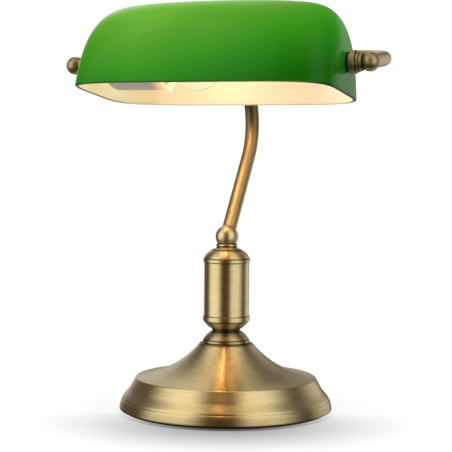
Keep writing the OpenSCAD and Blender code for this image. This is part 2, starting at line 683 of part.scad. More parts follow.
base_pad();
base_weight();
rod_nuts();
rod_washers();
center_rod();
base_shell();
cord_bushing();
foot_flange();
waist_ring();
column_cup();
column_tube();
column_cap();
neck_flare();
neck_bead();
stem_ball();
swivel_screw();
stem_tube();
top_coupling();
set_screws();
yoke_arm_left();
yoke_arm_right();
end_ball_left();
end_ball_right();
nipple_left();
nipple_right();
collar_cup_left();
collar_cup_right();
clamp_nut_left();
clamp_nut_right();
lock_nut_left();
lock_nut_right();
pivot_bush_left();
pivot_bush_right();
inner_washer_left();
inner_washer_right();
shade_glass();
holder_cap();
holder_skirt();
holder_insert();
screw_shell();
centre_contact();
bulb_glass();
bulb_cap();
bulb_insulator();
bulb_contact();
filament_mount();
filament();
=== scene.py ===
import json
import math

import bmesh
import bpy
from mathutils import Matrix, Vector


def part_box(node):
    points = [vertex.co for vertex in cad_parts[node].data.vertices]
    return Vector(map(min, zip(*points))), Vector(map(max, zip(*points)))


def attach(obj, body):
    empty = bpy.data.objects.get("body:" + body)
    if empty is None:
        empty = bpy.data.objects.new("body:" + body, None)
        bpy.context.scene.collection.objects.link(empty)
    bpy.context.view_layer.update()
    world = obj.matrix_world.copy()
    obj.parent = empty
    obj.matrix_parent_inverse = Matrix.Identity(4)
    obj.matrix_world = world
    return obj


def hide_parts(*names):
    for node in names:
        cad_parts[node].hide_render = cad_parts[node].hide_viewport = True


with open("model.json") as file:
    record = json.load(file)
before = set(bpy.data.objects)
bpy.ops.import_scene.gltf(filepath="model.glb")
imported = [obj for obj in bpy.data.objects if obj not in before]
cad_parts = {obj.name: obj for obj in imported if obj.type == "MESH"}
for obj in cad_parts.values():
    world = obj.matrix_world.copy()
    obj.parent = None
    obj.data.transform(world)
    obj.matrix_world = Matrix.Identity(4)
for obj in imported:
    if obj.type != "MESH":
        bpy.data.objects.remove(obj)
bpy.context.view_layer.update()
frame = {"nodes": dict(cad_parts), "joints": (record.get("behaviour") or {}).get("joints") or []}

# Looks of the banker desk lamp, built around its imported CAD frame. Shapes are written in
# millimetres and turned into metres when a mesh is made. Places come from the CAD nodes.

MM = 0.001
TURN = 2 * math.pi


def low(node):
    """Lowest corner of a CAD node, in millimetres."""
    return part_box(node)[0] / MM


def high(node):
    """Highest corner of a CAD node, in millimetres."""
    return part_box(node)[1] / MM


# ---- driving sizes

BASE_R = high("base_shell").x
PAD_T = low("base_shell").z
SEAT_Z = low("foot_flange").z
WAIST_Z0 = low("waist_ring").z
WAIST_Z1 = high("waist_ring").z
TUBE_Z0 = low("column_tube").z
TUBE_Z1 = high("column_tube").z
TUBE_R = high("column_tube").x
CAP_Z = high("column_cap").z
FLARE_Z = high("neck_flare").z
BALL_SEAT = low("stem_ball").z
BALL_R = high("stem_ball").x
BALL_Z = high("stem_ball").z - BALL_R

# A point of the axis that the shade tilts about.
AXIS = Vector(next(j["pos_m"] for j in frame["joints"] if j["name"] == "shade_tilt")) / MM
COUPLING_R = high("top_coupling").x
REAR = (low("top_coupling") + high("top_coupling")) / 2
PIPE_R = high("stem_tube").x
PIPE_T = 1.2
PIPE_IN = 4.5          # how far a pipe reaches into a ball, from the ball's centre
COUPLING_IN = 6.2      # the same at the coupling
END_BALL_R = 7.7
END_BALL_X = high("end_ball_right").x - END_BALL_R
CUP_X0 = low("collar_cup_right").x
CUP_X1 = high("collar_cup_right").x
NUT_X1 = high("clamp_nut_right").x
BUSH_X1 = high("pivot_bush_right").x

SHADE_A = high("shade_glass").x    # half length of the shade at its rim
SHADE_B = 60.2                     # half depth
SHADE_H = 75.6
SHADE_AXIS_H = 25.5                # height of the tilt axis over the rim
SHADE_TILT = 7.3                   # degrees that the shade leans at rest
GLASS_T = 3.3
# The holder and the bulb sit in the left half. Their places are distances to the left.
HOLDER_R = high("holder_skirt").z - AXIS.z
MOUTH_X = -high("holder_skirt").x
SKIRT_X = -high("holder_cap").x
GLOBE_R = high("bulb_glass").z - AXIS.z
GLOBE_X = GLOBE_R - high("bulb_glass").x
ROD_R = 5.2
NIPPLE_R = 5.05
THREAD_PITCH = 3.63


# ---- outlines

def arc(centre, radius, start, end, steps):
    """Points (radius, height) along an arc about centre. Angles are in degrees."""
    made = []
    for i in range(steps + 1):
        a = math.radians(start + (end - start) * i / steps)
        made.append((centre[0] + radius * math.cos(a), centre[1] + radius * math.sin(a)))
    return made


def curve(p, q, r, s, steps):
    """Points along the cubic curve from p to s with handles q and r."""
    made = []
    for i in range(steps + 1):
        t = i / steps
        w = ((1 - t) ** 3, 3 * (1 - t) ** 2 * t, 3 * (1 - t) * t * t, t ** 3)
        made.append(tuple(sum(k * c[n] for k, c in zip(w, (p, q, r, s))) for n in (0, 1)))
    return made


def bulge(p, q, radius, steps=18):
    """Points along the arc of that radius from p to q that bulges away from the axis."""
    mid = ((p[0] + q[0]) / 2, (p[1] + q[1]) / 2)
    d = (q[0] - p[0], q[1] - p[1])
    half = math.hypot(*d) / 2
    back = math.sqrt(radius ** 2 - half ** 2) / (2 * half)
    centre = (mid[0] - d[1] * back, mid[1] + d[0] * back)
    ends = [math.degrees(math.atan2(e[1] - centre[1], e[0] - centre[0])) for e in (p, q)]
    return arc(centre, radius, ends[0], ends[1], steps)


def rounded(points, steps=5):
    """An outline whose corners given as (radius, height, fillet) are rounded."""
    made = []
    for i, point in enumerate(points):
        if len(point) == 2:
            made.append(point)
            continue
        here = Vector(point[:2])
        before = Vector(points[i - 1][:2]) - here
        after = Vector(points[(i + 1) % len(points)][:2]) - here
        reach = min(point[2], before.length * 0.48, after.length * 0.48)
        start = here + before.normalized() * reach
        end = here + after.normalized() * reach
        for k in range(steps + 1):
            t = k / steps
            made.append(tuple(start * (1 - t) ** 2 + here * 2 * t * (1 - t) + end * t * t))
    return made


def supported(points, closed, edge=0.12):
    """The outline with a point set close to each end of its long straight runs, so that
    smooth shading stays flat along them."""
    made = []
    count = len(points) if closed else len(points) - 1
    for i in range(count):
        p = Vector(points[i])
        run = Vector(points[(i + 1) % len(points)]) - p
        made.append(tuple(p))
        if run.length > 5 * edge:
            made.append(tuple(p + run.normalized() * edge))
            made.append(tuple(p + run - run.normalized() * edge))
    if not closed:
        made.append(points[-1])
    return made


# ---- meshes

UPRIGHT = Matrix.Identity(4)
SHARP = math.radians(35)
THROUGH = 20.0         # length of a cutter that has to come out of its piece


def pointing(at, way):
    """Places a piece turned about +Z at a point, with +Z along way."""
    return Matrix.Translation(at) @ way.to_track_quat("Z", "Y").to_matrix().to_4x4()


def along_axis(side, x=0.0):
    """Places a piece turned about +Z on the tilt axis, with +Z pointing outwards."""
    outwards = Matrix.Rotation(side * TURN / 4, 4, "Y")
    return Matrix.Translation((side * x, AXIS.y, AXIS.z)) @ outwards


def in_scene(name, data):
    """A new object of the scene that holds data."""
    made = bpy.data.objects.new(name, data)
    bpy.context.scene.collection.objects.link(made)
    return made


def skin(name, rings, loop=False, place=UPRIGHT):
    """A mesh over rings of points in mm, each with as many points or only one. The UV map
    holds the way along the rings in metres, and the way round from 0 to 1."""
    points, starts, lengths = [], [], [0.0]
    for ring in rings:
        starts.append(len(points))
        points.extend(ring)
    for a, b in zip(rings, rings[1:] + rings[:1]):
        lengths.append(lengths[-1] + (Vector(b[0]) - Vector(a[0])).length * MM)
    faces, uvs = [], []
    for i in range(len(rings) if loop else len(rings) - 1):
        k = (i + 1) % len(rings)
        count = max(len(rings[i]), len(rings[k]))
        if count == 1:
            continue
        u0, u1 = lengths[i], lengths[i + 1]
        for j in range(count):
            n, v0, v1 = (j + 1) % count, j / count, (j + 1) / count
            corners = ((i, j, (u0, v0)), (i, n, (u0, v1)), (k, n, (u1, v1)), (k, j, (u1, v0)))
            used = [c for c in corners if len(rings[c[0]]) > 1 or c[1] == j]
            faces.append([starts[r] + min(p, len(rings[r]) - 1) for r, p, _ in used])
            uvs.extend(uv for _, _, uv in used)
    mesh = bpy.data.meshes.new(name)
    mesh.from_pydata([place @ Vector(p) * MM for p in points], [], faces)
    layer = mesh.uv_layers.new(name="UVMap")
    layer.data.foreach_set("uv", [c for uv in uvs for c in uv])
    body = bmesh.new()
    body.from_mesh(mesh)
    bmesh.ops.recalc_face_normals(body, faces=body.faces)
    body.to_mesh(mesh)
    body.free()
    mesh.shade_smooth()
    mesh.set_sharp_from_angle(angle=SHARP)
    return in_scene(name, mesh)


def turned(name, outline, place=UPRIGHT, steps=128, shape=None):
    """A turned piece. Its outline of (radius, height) runs round the whole section, or
    from axis to axis. shape(radius, height, angle) may change the radius."""
    solid = outline[0][0] == 0
    rings = []
    for r, z in supported(outline, not solid):
        if r == 0:
            rings.append([(0, 0, z)])
            continue
        ring = []
        for j in range(steps):
            a = TURN * j / steps
            here = shape(r, z, a) if shape else r
            ring.append((here * math.cos(a), here * math.sin(a), z))
        rings.append(ring)
    return skin(name, rings, loop=not solid, place=place)


def swept(name, path, normal, sides=48):
    """A tube of the lamp's own pipe along a flat path of (point, direction) in mm."""
    rings = []
    for radius, stations in ((PIPE_R, path), (PIPE_R - PIPE_T, path[::-1])):
        for point, way in stations:
            side = way.cross(normal)
            rings.append([
                point + radius * (math.cos(a) * normal + math.sin(a) * side)
                for a in (TURN * j / sides for j in range(sides))])
    return skin(name, rings, loop=True)


def straight(start, way, length, step=6.0):
    """Stations along a straight run of a path."""
    count = max(1, round(length / step))
    return [(start + way * (length * i / count), way) for i in range(count + 1)]


def bend(start, way, towards, radius, angle, steps):
    """Stations along a bend from start, turning by angle degrees to the towards side."""
    centre = start + towards * radius
    made = []
    for i in range(1, steps + 1):
        a = math.radians(angle * i / steps)
        point = centre - towards * (radius * math.cos(a)) + way * (radius * math.sin(a))
        made.append((point, way * math.cos(a) + towards * math.sin(a)))
    return made


def drill(piece, start, way, radius, length=THROUGH, steps=40):
    """Cuts a round hole into a piece, from start along way, in mm."""
    cutter = turned("drill", [(0, 0), (radius, 0), (radius, length), (0, length)],
                    pointing(start, way), steps)
    step = piece.modifiers.new("cut", "BOOLEAN")
    step.operation = "DIFFERENCE"
    step.solver = "EXACT"
    step.object = cutter
    graph = bpy.context.evaluated_depsgraph_get()
    made = bpy.data.meshes.new_from_object(piece.evaluated_get(graph))
    piece.modifiers.clear()
    piece.data = made
    bpy.data.objects.remove(cutter)
    made.set_sharp_from_angle(angle=SHARP)


# ---- material nodes

def fill(tree, node, values):
    """Sets a node's inputs: a socket is linked, and anything else is its value."""
    for key, value in values.items():
        if isinstance(value, bpy.types.NodeSocket):
            tree.links.new(value, node.inputs[key])
        elif isinstance(value, tuple) and len(value) == 3 and node.inputs[key].type == "RGBA":
            node.inputs[key].default_value = (*value, 1)
        else:
            node.inputs[key].default_value = value


def add(tree, kind, values=None, **settings):
    """A new node with its settings and its inputs."""
    node = tree.nodes.new("ShaderNode" + kind)
    for key, value in settings.items():
        setattr(node, key, value)
    fill(tree, node, values or {})
    return node


def new_material(name):
    """An empty material, its node tree, its Principled shader, and the socket that says
    where a point is in its object, in metres."""
    made = bpy.data.materials.new(name)
    made.use_nodes = True
    tree = made.node_tree
    tree.nodes.clear()
    shader = add(tree, "BsdfPrincipled")
    add(tree, "OutputMaterial", {"Surface": shader.outputs["BSDF"]})
    return made, tree, shader, add(tree, "TexCoord").outputs["Object"]


def calc(tree, operation, *values):
    """The result of a Math node."""
    return add(tree, "Math", dict(enumerate(values)), operation=operation).outputs[0]


def blended(tree, amount, a, b):
    """Colour a turning into b as amount goes from 0 to 1."""
    return add(tree, "Mix", {0: amount, 6: a, 7: b}, data_type="RGBA").outputs[2]


def ramped(tree, value, low_in, high_in, low_out=0.0, high_out=1.0, kind="LINEAR"):
    """value mapped from one range to another, and held at its ends."""
    return add(tree, "MapRange", {0: value, 1: low_in, 2: high_in, 3: low_out, 4: high_out},
               interpolation_type=kind).outputs[0]


def stepped(tree, *mapping):
    """The same with a soft start and a soft end."""
    return ramped(tree, *mapping, kind="SMOOTHSTEP")


def graded(tree, value, *stops):
    """A colour that follows value through stops of (value, colour)."""
    node = add(tree, "ValToRGB", {"Fac": value})
    held = node.color_ramp.elements
    for point, (at, colour) in zip((held[0], held[-1]), (stops[0], stops[-1])):
        point.position, point.color = at, (*colour, 1)
    for at, colour in stops[1:-1]:
        held.new(at).color = (*colour, 1)
    return node.outputs["Color"]


def noise(tree, vector, scale, detail, rough=0.55):
    """Cloudy noise from 0 to 1."""
    return add(tree, "TexNoise", {"Vector": vector, "Scale": scale, "Detail": detail,
                                  "Roughness": rough}).outputs["Fac"]


def bumped(tree, height, distance, strength):
    """A normal raised by height times distance, which is in metres."""
    return add(tree, "Bump", {"Height": height, "Distance": distance,
                              "Strength": strength}).outputs["Normal"]


# ---- materials

BRASS_PALE = (0.76, 0.65, 0.37)
BRASS_DEEP = (0.64, 0.51, 0.24)
# Dark colour of the patina in hollows and joints, also used for the painted shade of some wide
# rings.
PATINA_AND_SHADE = (0.13, 0.080, 0.032)
CLEAN_IN_RING = 0.25   # how much clean metal is left in a ring that doesn't say
PATINA_DULLS = 0.18    # how much rougher patina is than clean metal


def brass(name, around=1.6, stretch=0.9, rough=0.30, groove=3.0, rings=(), along="Z",
          grain=(330.0, 2200.0)):
    """Antique brass, brushed round its axis under clear lacquer. around sets how short the
    brush lines are, stretch how far highlights run across them, and groove how wide, in
    mm, the dark patina lies in corners. The same dark colour lies at the rings, each a
    place along the axis and a half width in mm, and for some how much clean metal is left
    there. Narrow rings are dark joints; wide ones darken a whole stretch, and some of these
    are painted shade. grain holds the coarse and the fine lines per metre of profile."""
    made, tree, shader, place = new_material(name)
    way = add(tree, "UVMap", uv_map="UVMap").outputs["UV"]
    parts = add(tree, "SeparateXYZ", {0: way}).outputs
    angle = calc(tree, "MULTIPLY", parts["Y"], TURN)
    across = calc(tree, "MULTIPLY", calc(tree, "COSINE", angle), around)
    over = calc(tree, "MULTIPLY", calc(tree, "SINE", angle), around)

    def lines(per_metre):
        run = calc(tree, "MULTIPLY", parts["X"], per_metre)
        vector = add(tree, "CombineXYZ", {0: across, 1: over, 2: run}).outputs[0]
        return noise(tree, vector, 1.0, 2.0, 0.6)

    coarse, fine = lines(grain[0]), lines(grain[1])
    clouds = noise(tree, place, 24.0, 2.0)
    hollow = add(tree, "AmbientOcclusion", {"Distance": groove * MM}, samples=8).outputs["AO"]
    clean_and_unshaded = stepped(tree, hollow, 0.35, 0.95)
    at = add(tree, "SeparateXYZ", {0: place}).outputs[along]
    if along == "X":
        at = calc(tree, "ABSOLUTE", at)
    # Each ring darkens the metal round its place; at some wide rings this darkening is painted
    # shade.
    for middle, half, *rest in rings:
        left = rest[0] if rest else CLEAN_IN_RING
        gap = calc(tree, "ABSOLUTE", calc(tree, "SUBTRACT", at, middle * MM))
        clean = stepped(tree, gap, 0.15 * half * MM, half * MM, left, 1.0)
        clean_and_unshaded = calc(tree, "MULTIPLY", clean_and_unshaded, clean)
    streaks = calc(tree, "ADD", calc(tree, "MULTIPLY", fine, 0.6),
                   calc(tree, "MULTIPLY", coarse, 0.4))
    tone = calc(tree, "ADD", calc(tree, "MULTIPLY", streaks, 0.75),
                calc(tree, "MULTIPLY", clouds, 0.25))
    metal = blended(tree, stepped(tree, tone, 0.34, 0.64), BRASS_DEEP, BRASS_PALE)
    colour = blended(tree, clean_and_unshaded, PATINA_AND_SHADE, metal)
    dull = calc(tree, "MULTIPLY_ADD", clean_and_unshaded, -PATINA_DULLS, rough + PATINA_DULLS)
    roughness = calc(tree, "ADD", dull, ramped(tree, streaks, 0.3, 0.7, -0.02, 0.02))
    tangent = add(tree, "Tangent", direction_type="UV_MAP", uv_map="UVMap").outputs[0]
    fill(tree, shader, {
        "Base Color": colour, "Metallic": 1.0, "Roughness": roughness,
        "Anisotropic": stretch, "Tangent": tangent, "Coat Weight": 0.12,
        "Coat Roughness": 0.25, "Coat IOR": 1.45,
        "Normal": bumped(tree, streaks, 0.00004, 0.12)})
    return made


def green_glass():
    """Glossy green casing with a painted glow: its emission stands in for the bulb's light
    coming through it and the studio light on its upper left. The painted glow is brightest
    high up near the bulb, and falls to a deep green at the rim and at the far end."""
    made, tree, shader, place = new_material("green_glass")
    x, _, z = add(tree, "SeparateXYZ", {0: place}).outputs
    rim_z, bright_x, end_x = AXIS.z - SHADE_AXIS_H, -50.0, 112.0
    up = ramped(tree, z, rim_z * MM, (rim_z + SHADE_H) * MM, 0.30, 1.15)
    right = ramped(tree, x, bright_x * MM, end_x * MM, 0.0, 0.54)
    left = ramped(tree, x, -end_x * MM, bright_x * MM, 0.13, 0.0)
    clouds = ramped(tree, noise(tree, place, 16.0, 2.0), 0.3, 0.7, -0.03, 0.03)
    level = calc(tree, "ADD", calc(tree, "SUBTRACT", calc(tree, "SUBTRACT", up, right), left),
                 clouds)
    light = graded(tree, level, (0.0, (0.004, 0.085, 0.001)), (0.25, (0.012, 0.174, 0.003)),
                   (0.5, (0.034, 0.262, 0.006)), (0.75, (0.080, 0.320, 0.014)),
                   (1.0, (0.140, 0.420, 0.034)))
    ripple = noise(tree, place, 28.0, 1.0)
    fill(tree, shader, {
        "Base Color": blended(tree, ripple, (0.006, 0.040, 0.003), (0.009, 0.055, 0.004)),
        "Roughness": 0.05, "IOR": 1.5, "Specular IOR Level": 0.10, "Emission Color": light,
        "Emission Strength": 1.0, "Normal": bumped(tree, ripple, 0.00025, 0.3)})
    return made


def rim_glass():
    """The casing where it wraps the rim, with a painted glow: pale behind, standing in for the
    bulb's light coming through it, deep green in front, and almost black round the ends."""
    made, tree, shader, place = new_material("rim_glass")
    clouds = noise(tree, place, 120.0, 2.0)
    x, y, _ = add(tree, "SeparateXYZ", {0: place}).outputs
    ends = stepped(tree, calc(tree, "ABSOLUTE", x), 94 * MM, 112 * MM)
    lit = blended(tree, stepped(tree, y, AXIS.y * MM, (AXIS.y + 50) * MM),
                  (0.020, 0.110, 0.006), (0.50, 0.46, 0.24))
    fill(tree, shader, {
        "Base Color": blended(tree, clouds, (0.004, 0.012, 0.003), (0.008, 0.026, 0.006)),
        "Roughness": 0.14, "IOR": 1.5, "Specular IOR Level": 0.2,
        "Emission Color": blended(tree, ends, lit, (0.0, 0.002, 0.0)),
        "Emission Strength": 1.0, "Normal": bumped(tree, clouds, 0.0001, 0.3)})
    return made


def opal_glass():
    """White inner layer of the shade, glossy, with the bulb's warm light on it painted as
    emission, and a painted bright wedge where the bulb's neck throws light on the wall
    behind it."""
    made, tree, shader, place = new_material("opal_glass")
    x, y, z = add(tree, "SeparateXYZ", {0: place}).outputs
    clouds = ramped(tree, noise(tree, place, 20.0, 2.0), 0.3, 0.7, -0.02, 0.02)
    along = calc(tree, "ADD", ramped(tree, x, -SHADE_A * MM, SHADE_A * MM), clouds)
    light = graded(tree, along, (0.0, (0.52, 0.46, 0.23)), (0.13, (0.40, 0.35, 0.17)),
                   (0.17, (0.55, 0.42, 0.26)), (0.30, (0.55, 0.38, 0.23)),
                   (0.42, (0.60, 0.41, 0.29)), (0.60, (0.60, 0.42, 0.29)),
                   (0.80, (0.58, 0.39, 0.26)), (1.0, (0.82, 0.65, 0.48)))
    wedge_x, wedge_z, spread = -64.3, AXIS.z - 20.8, 0.55
    beside = calc(tree, "ABSOLUTE", calc(tree, "SUBTRACT", x, wedge_x * MM))
    above = calc(tree, "SUBTRACT", z, wedge_z * MM)
    past = calc(tree, "MULTIPLY_ADD", above, -spread, beside)
    wedge = calc(tree, "MULTIPLY", stepped(tree, past, -2.2 * MM, 1.0 * MM, 1.0, 0.0),
                 stepped(tree, y, AXIS.y * MM, (AXIS.y + 30) * MM))
    ripple = noise(tree, place, 35.0, 1.0)
    fill(tree, shader, {
        "Base Color": blended(tree, ripple, (0.42, 0.39, 0.31), (0.47, 0.44, 0.36)),
        "Roughness": 0.16, "IOR": 1.5,
        "Emission Color": blended(tree, wedge, light, (1.6, 1.6, 1.4)),
        "Emission Strength": 1.0, "Normal": bumped(tree, ripple, 0.0003, 0.3)})
    return made


def plain_metal(name, colour, rough):
    """Zinc, nickel or tinned metal with fine machining marks and cloudy dulling."""
    made, tree, shader, place = new_material(name)
    marks, clouds = noise(tree, place, 900.0, 3.0), noise(tree, place, 90.0, 3.0)
    dim = tuple(0.62 * c for c in colour)
    fill(tree, shader, {
        "Base Color": blended(tree, clouds, dim, colour), "Metallic": 1.0,
        "Roughness": ramped(tree, marks, 0.3, 0.7, rough - 0.08, rough + 0.1),
        "Normal": bumped(tree, marks, 0.00003, 0.5)})
    return made


def moulded(name, dark, pale, rough, scale=1500.0, depth=0.00005):
    """Plastic, rubber, foam, cast iron or ceramic with a fine texture."""
    made, tree, shader, place = new_material(name)
    grain, clouds = noise(tree, place, scale, 3.0), noise(tree, place, 70.0, 3.0)
    fill(tree, shader, {
        "Base Color": blended(tree, clouds, dark, pale),
        "Roughness": ramped(tree, grain, 0.3, 0.7, rough - 0.06, rough + 0.08),
        "Normal": bumped(tree, grain, depth, 0.6)})
    return made


def holder_plastic():
    """Grey plastic of the lamp holder, lightened by painted light, and with a painted orange
    glow of the bulb's light at its mouth.
    """
    made, tree, shader, place = new_material("holder_plastic")
    grain, clouds = noise(tree, place, 1400.0, 3.0), noise(tree, place, 60.0, 3.0)
    x = add(tree, "SeparateXYZ", {0: place}).outputs["X"]
    lit = stepped(tree, x, (-MOUTH_X - 11) * MM, -MOUTH_X * MM)
    fill(tree, shader, {
        "Base Color": blended(tree, clouds, (0.20, 0.18, 0.16), (0.25, 0.225, 0.20)),
        "Roughness": ramped(tree, grain, 0.3, 0.7, 0.42, 0.56),
        "Emission Color": blended(tree, lit, (0.26, 0.235, 0.205), (0.95, 0.52, 0.28)),
        "Emission Strength": 1.0, "Normal": bumped(tree, grain, 0.00005, 0.6)})
    return made


def clear_glass():
    """Clear blown glass with faint ripples, and a faint painted glow of the bulb's light in it.
    """
    made, tree, shader, place = new_material("clear_glass")
    ripple = noise(tree, place, 55.0, 1.0)
    fill(tree, shader, {
        "Base Color": blended(tree, ripple, (0.99, 0.99, 0.98), (1.0, 1.0, 1.0)),
        "Roughness": 0.0, "IOR": 1.13, "Transmission Weight": 1.0,
        "Emission Color": (0.035, 0.055, 0.030), "Emission Strength": 1.0,
        "Normal": bumped(tree, ripple, 0.0001, 0.2)})
    return made


def hot_filament():
    """Tungsten coil at work, with small differences in its glow."""
    made, tree, shader, place = new_material("hot_filament")
    heat = noise(tree, place, 700.0, 2.0)
    fill(tree, shader, {
        "Base Color": (0.25, 0.22, 0.20), "Metallic": 1.0, "Roughness": 0.5,
        "Emission Color": blended(tree, heat, (1.0, 0.62, 0.22), (1.0, 0.80, 0.45)),
        "Emission Strength": 60.0})
    return made


# Narrow rings lie in the joints between pieces, and wide ones tone a whole stretch down.
COLUMN_RINGS = ((SEAT_Z, 1.6), (SEAT_Z + 3.0, 1.1), (WAIST_Z0, 1.8), (WAIST_Z1, 1.8),
                (WAIST_Z0, 14.0, 0.68), (TUBE_Z0 - 4.7, 1.1), (TUBE_Z0, 0.6),
                (TUBE_Z1, 0.6), (TUBE_Z1 + 3.3, 1.1), (CAP_Z, 1.2), (FLARE_Z, 1.2),
                (BALL_SEAT, 1.2))
END_RINGS = ((BUSH_X1, 0.9), (CUP_X1, 0.9), (CUP_X1 + 2.6, 0.8), (NUT_X1, 1.3),
             (CUP_X1, 16.0, 0.62))
TURNED = brass("brass_turned", rings=COLUMN_RINGS)
ENDS = brass("brass_ends", stretch=0.6, rough=0.37, rings=END_RINGS, along="X")
# In brass_spun the wide ring just above the pad is painted shade: it darkens the skirt's low
# band, standing in for the shadowed floor that the band would reflect.
SPUN = brass("brass_spun", around=5.0, stretch=1.0, rough=0.29, groove=5.0,
             rings=((PAD_T, 1.5), (PAD_T + 2.0, 7.0, 0.75), (SEAT_Z, 2.0)))
# In brass_pipe the first wide ring is painted shade on the stem's top, under the lampshade; the
# second darkens the stem's middle stretch.
PIPE = brass("brass_pipe", around=15.0, stretch=0.0, rough=0.33, grain=(4.0, 11.0),
             rings=((AXIS.z - 37, 48, 0.2), (AXIS.z - 110, 80, 0.60)))
BALL = brass("brass_ball", around=1.0, stretch=0.3, rough=0.36)
END_BALL = brass("brass_end_ball", around=1.0, stretch=0.3, rough=0.34,
                 rings=((END_BALL_X, 24.0, 0.55),), along="X")
GREEN, RIM, OPAL = green_glass(), rim_glass(), opal_glass()
STEEL = plain_metal("zinc_steel", (0.62, 0.62, 0.60), 0.34)
NICKEL = plain_metal("nickel_sheet", (0.74, 0.73, 0.69), 0.24)
CONTACT = plain_metal("contact_brass", (0.83, 0.61, 0.27), 0.28)
IRON = moulded("cast_iron", (0.025, 0.025, 0.027), (0.05, 0.05, 0.052), 0.62, 500.0, 0.0004)
RUBBER = moulded("rubber", (0.012, 0.012, 0.012), (0.022, 0.022, 0.021), 0.62)
FOAM = moulded("foam", (0.008, 0.008, 0.008), (0.018, 0.018, 0.018), 0.85, 1200.0, 0.0003)
BLACK = moulded("black_plastic", (0.012, 0.012, 0.013), (0.02, 0.02, 0.021), 0.4)
VITRITE = moulded("black_glass", (0.008, 0.008, 0.012), (0.014, 0.014, 0.02), 0.15, 300.0)
CERAMIC = moulded("ceramic", (0.60, 0.57, 0.50), (0.74, 0.71, 0.64), 0.7, 2200.0)
HOLDER, CLEAR, FILAMENT = holder_plastic(), clear_glass(), hot_filament()


def finished(piece, body, slot, nodes, *materials):
    """Gives a piece its materials and its body, and hides the CAD nodes it stands for. slot is
    not used.
    """
    for material in materials:
        piece.data.materials.append(material)
    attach(piece, body)
    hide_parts(*nodes)


def dress(material, *nodes):
    """Gives CAD nodes that stay as they are their material."""
    for name in nodes:
        piece = frame["nodes"][name]
        for held in piece.material_slots:
            held.material = material
        if not piece.material_slots:
            piece.data.materials.append(material)


# ---- base

BACK = Vector((0, 1, 0))
INLET_R = 3.9


def make_base():
    """The spun shell with its skirt, crease and flared top, its pad and the cord's inlet."""
    wall, lip_r, seat_r, crease_z = 1.2, 85.5, 22.8, 28.9

    def from_edge(*points):
        return [(BASE_R - inwards, z) for inwards, z in points]

    outer = (
        curve(*from_edge((0, PAD_T + 0.4), (0.35, 5.2), (1.0, 8.2), (1.9, 10.0)), 10)
        + curve(*from_edge((2.1, 10.3), (2.2, 10.5), (2.45, 10.4), (2.6, 10.9)), 4)[1:]
        + curve(*from_edge((2.7, 11.3), (3.2, 13.2), (8.4, 17.5), (9.5, 20.7)), 18)
        + curve(*from_edge((13.3, 27.3), (13.8, 28.4), (14.3, 28.9), (15.7, 28.95)), 8)
        + curve(*from_edge((16.1, 29.0), (30.8, 30.1)), (39.4, 37.5),
                (seat_r, SEAT_Z - 0.5), 40)
        + [(seat_r - 0.3, SEAT_Z - 0.1), (seat_r - 0.8, SEAT_Z)])
    inner = [(r - wall, z) if z < crease_z else (r - 0.8 * wall, z - wall) for r, z in outer]
    outline = (outer + [(ROD_R, SEAT_Z), (ROD_R, SEAT_Z - wall)]
               + [p for p in inner[::-1] if p[1] > PAD_T + wall]
               + [(BASE_R - wall, PAD_T + wall), (lip_r, PAD_T + wall), (lip_r, PAD_T),
                  (BASE_R - 0.5, PAD_T), (BASE_R - 0.12, PAD_T + 0.1)])
    shell = turned("base_shell_spun", outline, steps=168)
    inlet = (low("cord_bushing") + high("cord_bushing")) / 2
    drill(shell, Vector((0, BASE_R - 12, inlet.z)), BACK, INLET_R)
    finished(shell, "base", "brass", ["base_shell"], SPUN)

    pad_r = high("base_pad").x
    pad = turned("foam_pad", rounded([(0, 0), (pad_r, 0, 0.7), (pad_r, PAD_T, 0.3),
                                      (0, PAD_T)]), steps=192)
    finished(pad, "base", "foam", ["base_pad"], FOAM)

    back_y, bore, barrel_r, flange_r = high("cord_bushing").y, 3.0, 3.85, 4.9
    bush = turned("cord_bushing_moulded", rounded([
        (bore, back_y - 6.6, 0.2), (barrel_r, back_y - 6.6, 0.3), (barrel_r, BASE_R - 0.8),
        (flange_r, BASE_R - 0.8, 0.1), (flange_r, back_y - 0.1, 0.4), (4.3, back_y, 0.3),
        (bore, back_y, 0.5)]), Matrix.Translation((0, 0, inlet.z))
        @ Matrix.Rotation(-TURN / 4, 4, "X"), steps=64)
    finished(bush, "base", "black_plastic", ["cord_bushing"], BLACK)
    dress(IRON, "base_weight")
    dress(STEEL, "rod_nuts", "rod_washers", "center_rod")


# ---- column

BAND_R = TUBE_R + 0.75
WAIST_R = 12.2         # of the domes where they meet the waist ring


def column_piece(node, outline, steps, finish="_turned"):
    """A turned brass piece of the column in place of its CAD node."""
    piece = turned(node + finish, outline, steps=steps)
    finished(piece, "base", "brass", [node], TURNED)


